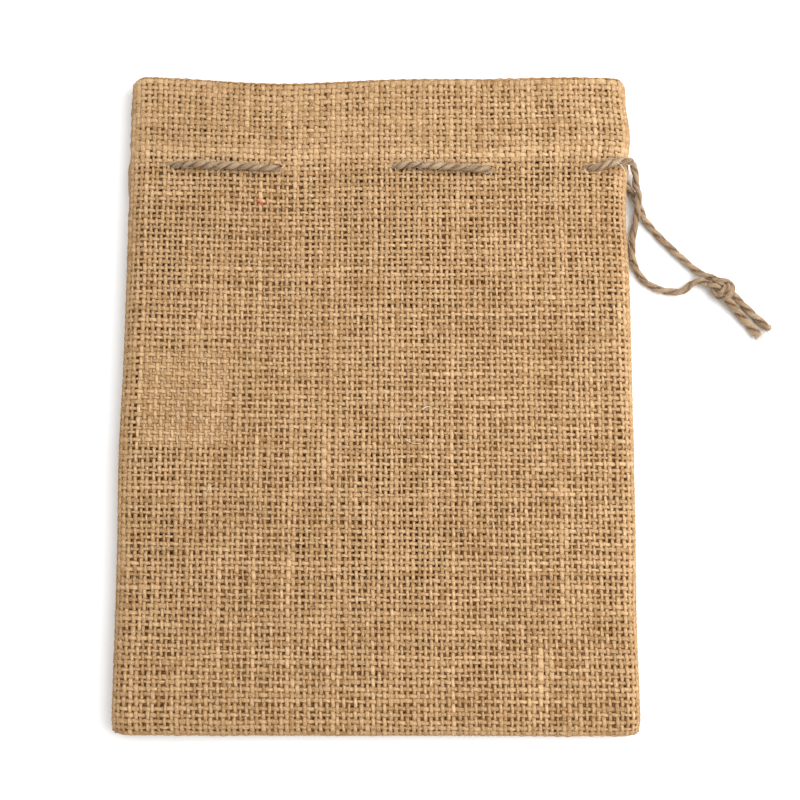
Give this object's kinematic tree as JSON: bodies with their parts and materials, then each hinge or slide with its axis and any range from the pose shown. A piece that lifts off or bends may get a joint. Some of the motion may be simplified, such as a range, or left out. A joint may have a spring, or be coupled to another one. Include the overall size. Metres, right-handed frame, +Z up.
{
  "type": "drawstring gift pouch",
  "caption": "Flat hessian gift pouch with a turned hem, sewn sides and a jute drawstring threaded below the mouth and knotted at one side.",
  "frame": {"origin": "on the table, under the middle of the pouch, not counting the free cord", "axes": "+X across the pouch towards the side where the drawstring leaves, +Y from the bottom seam to the mouth, +Z up from the back panel to the front panel"},
  "size_m": [0.258, 0.26, 0.0134],
  "materials": {
    "hessian": "coarse plain weave, matte",
    "jute_twine": "two-ply twisted twine, matte",
    "sewing_thread": "spun thread, matte"
  },
  "bodies": {
    "back": {"back_panel": "hessian", "back_hem_thread": "sewing_thread", "left_seam_thread": "sewing_thread", "right_seam_thread": "sewing_thread", "bottom_seam_thread": "sewing_thread", "drawstring_back_run": "jute_twine"},
    "front": {"front_panel": "hessian", "inner_patch": "hessian", "front_hem_thread": "sewing_thread", "drawstring_front_run": "jute_twine", "drawstring_over_edge": "jute_twine"},
    "drawstring_end": {"drawstring_loop_strand": "jute_twine", "drawstring_straight_strand": "jute_twine", "drawstring_knot": "jute_twine", "drawstring_tail_upper": "jute_twine", "drawstring_tail_lower": "jute_twine"}
  },
  "joints": [
    {"name": "mouth_open", "type": "hinge", "parent": "back", "child": "front", "pos_m": [0, -0.13, 0.0051], "axis": [1, 0, 0], "range_deg": [0, 8]},
    {"name": "drawstring_pull", "type": "slide", "parent": "back", "child": "drawstring_end", "axis": [1, 0, 0], "range_m": [0, 0.025]}
  ]
}
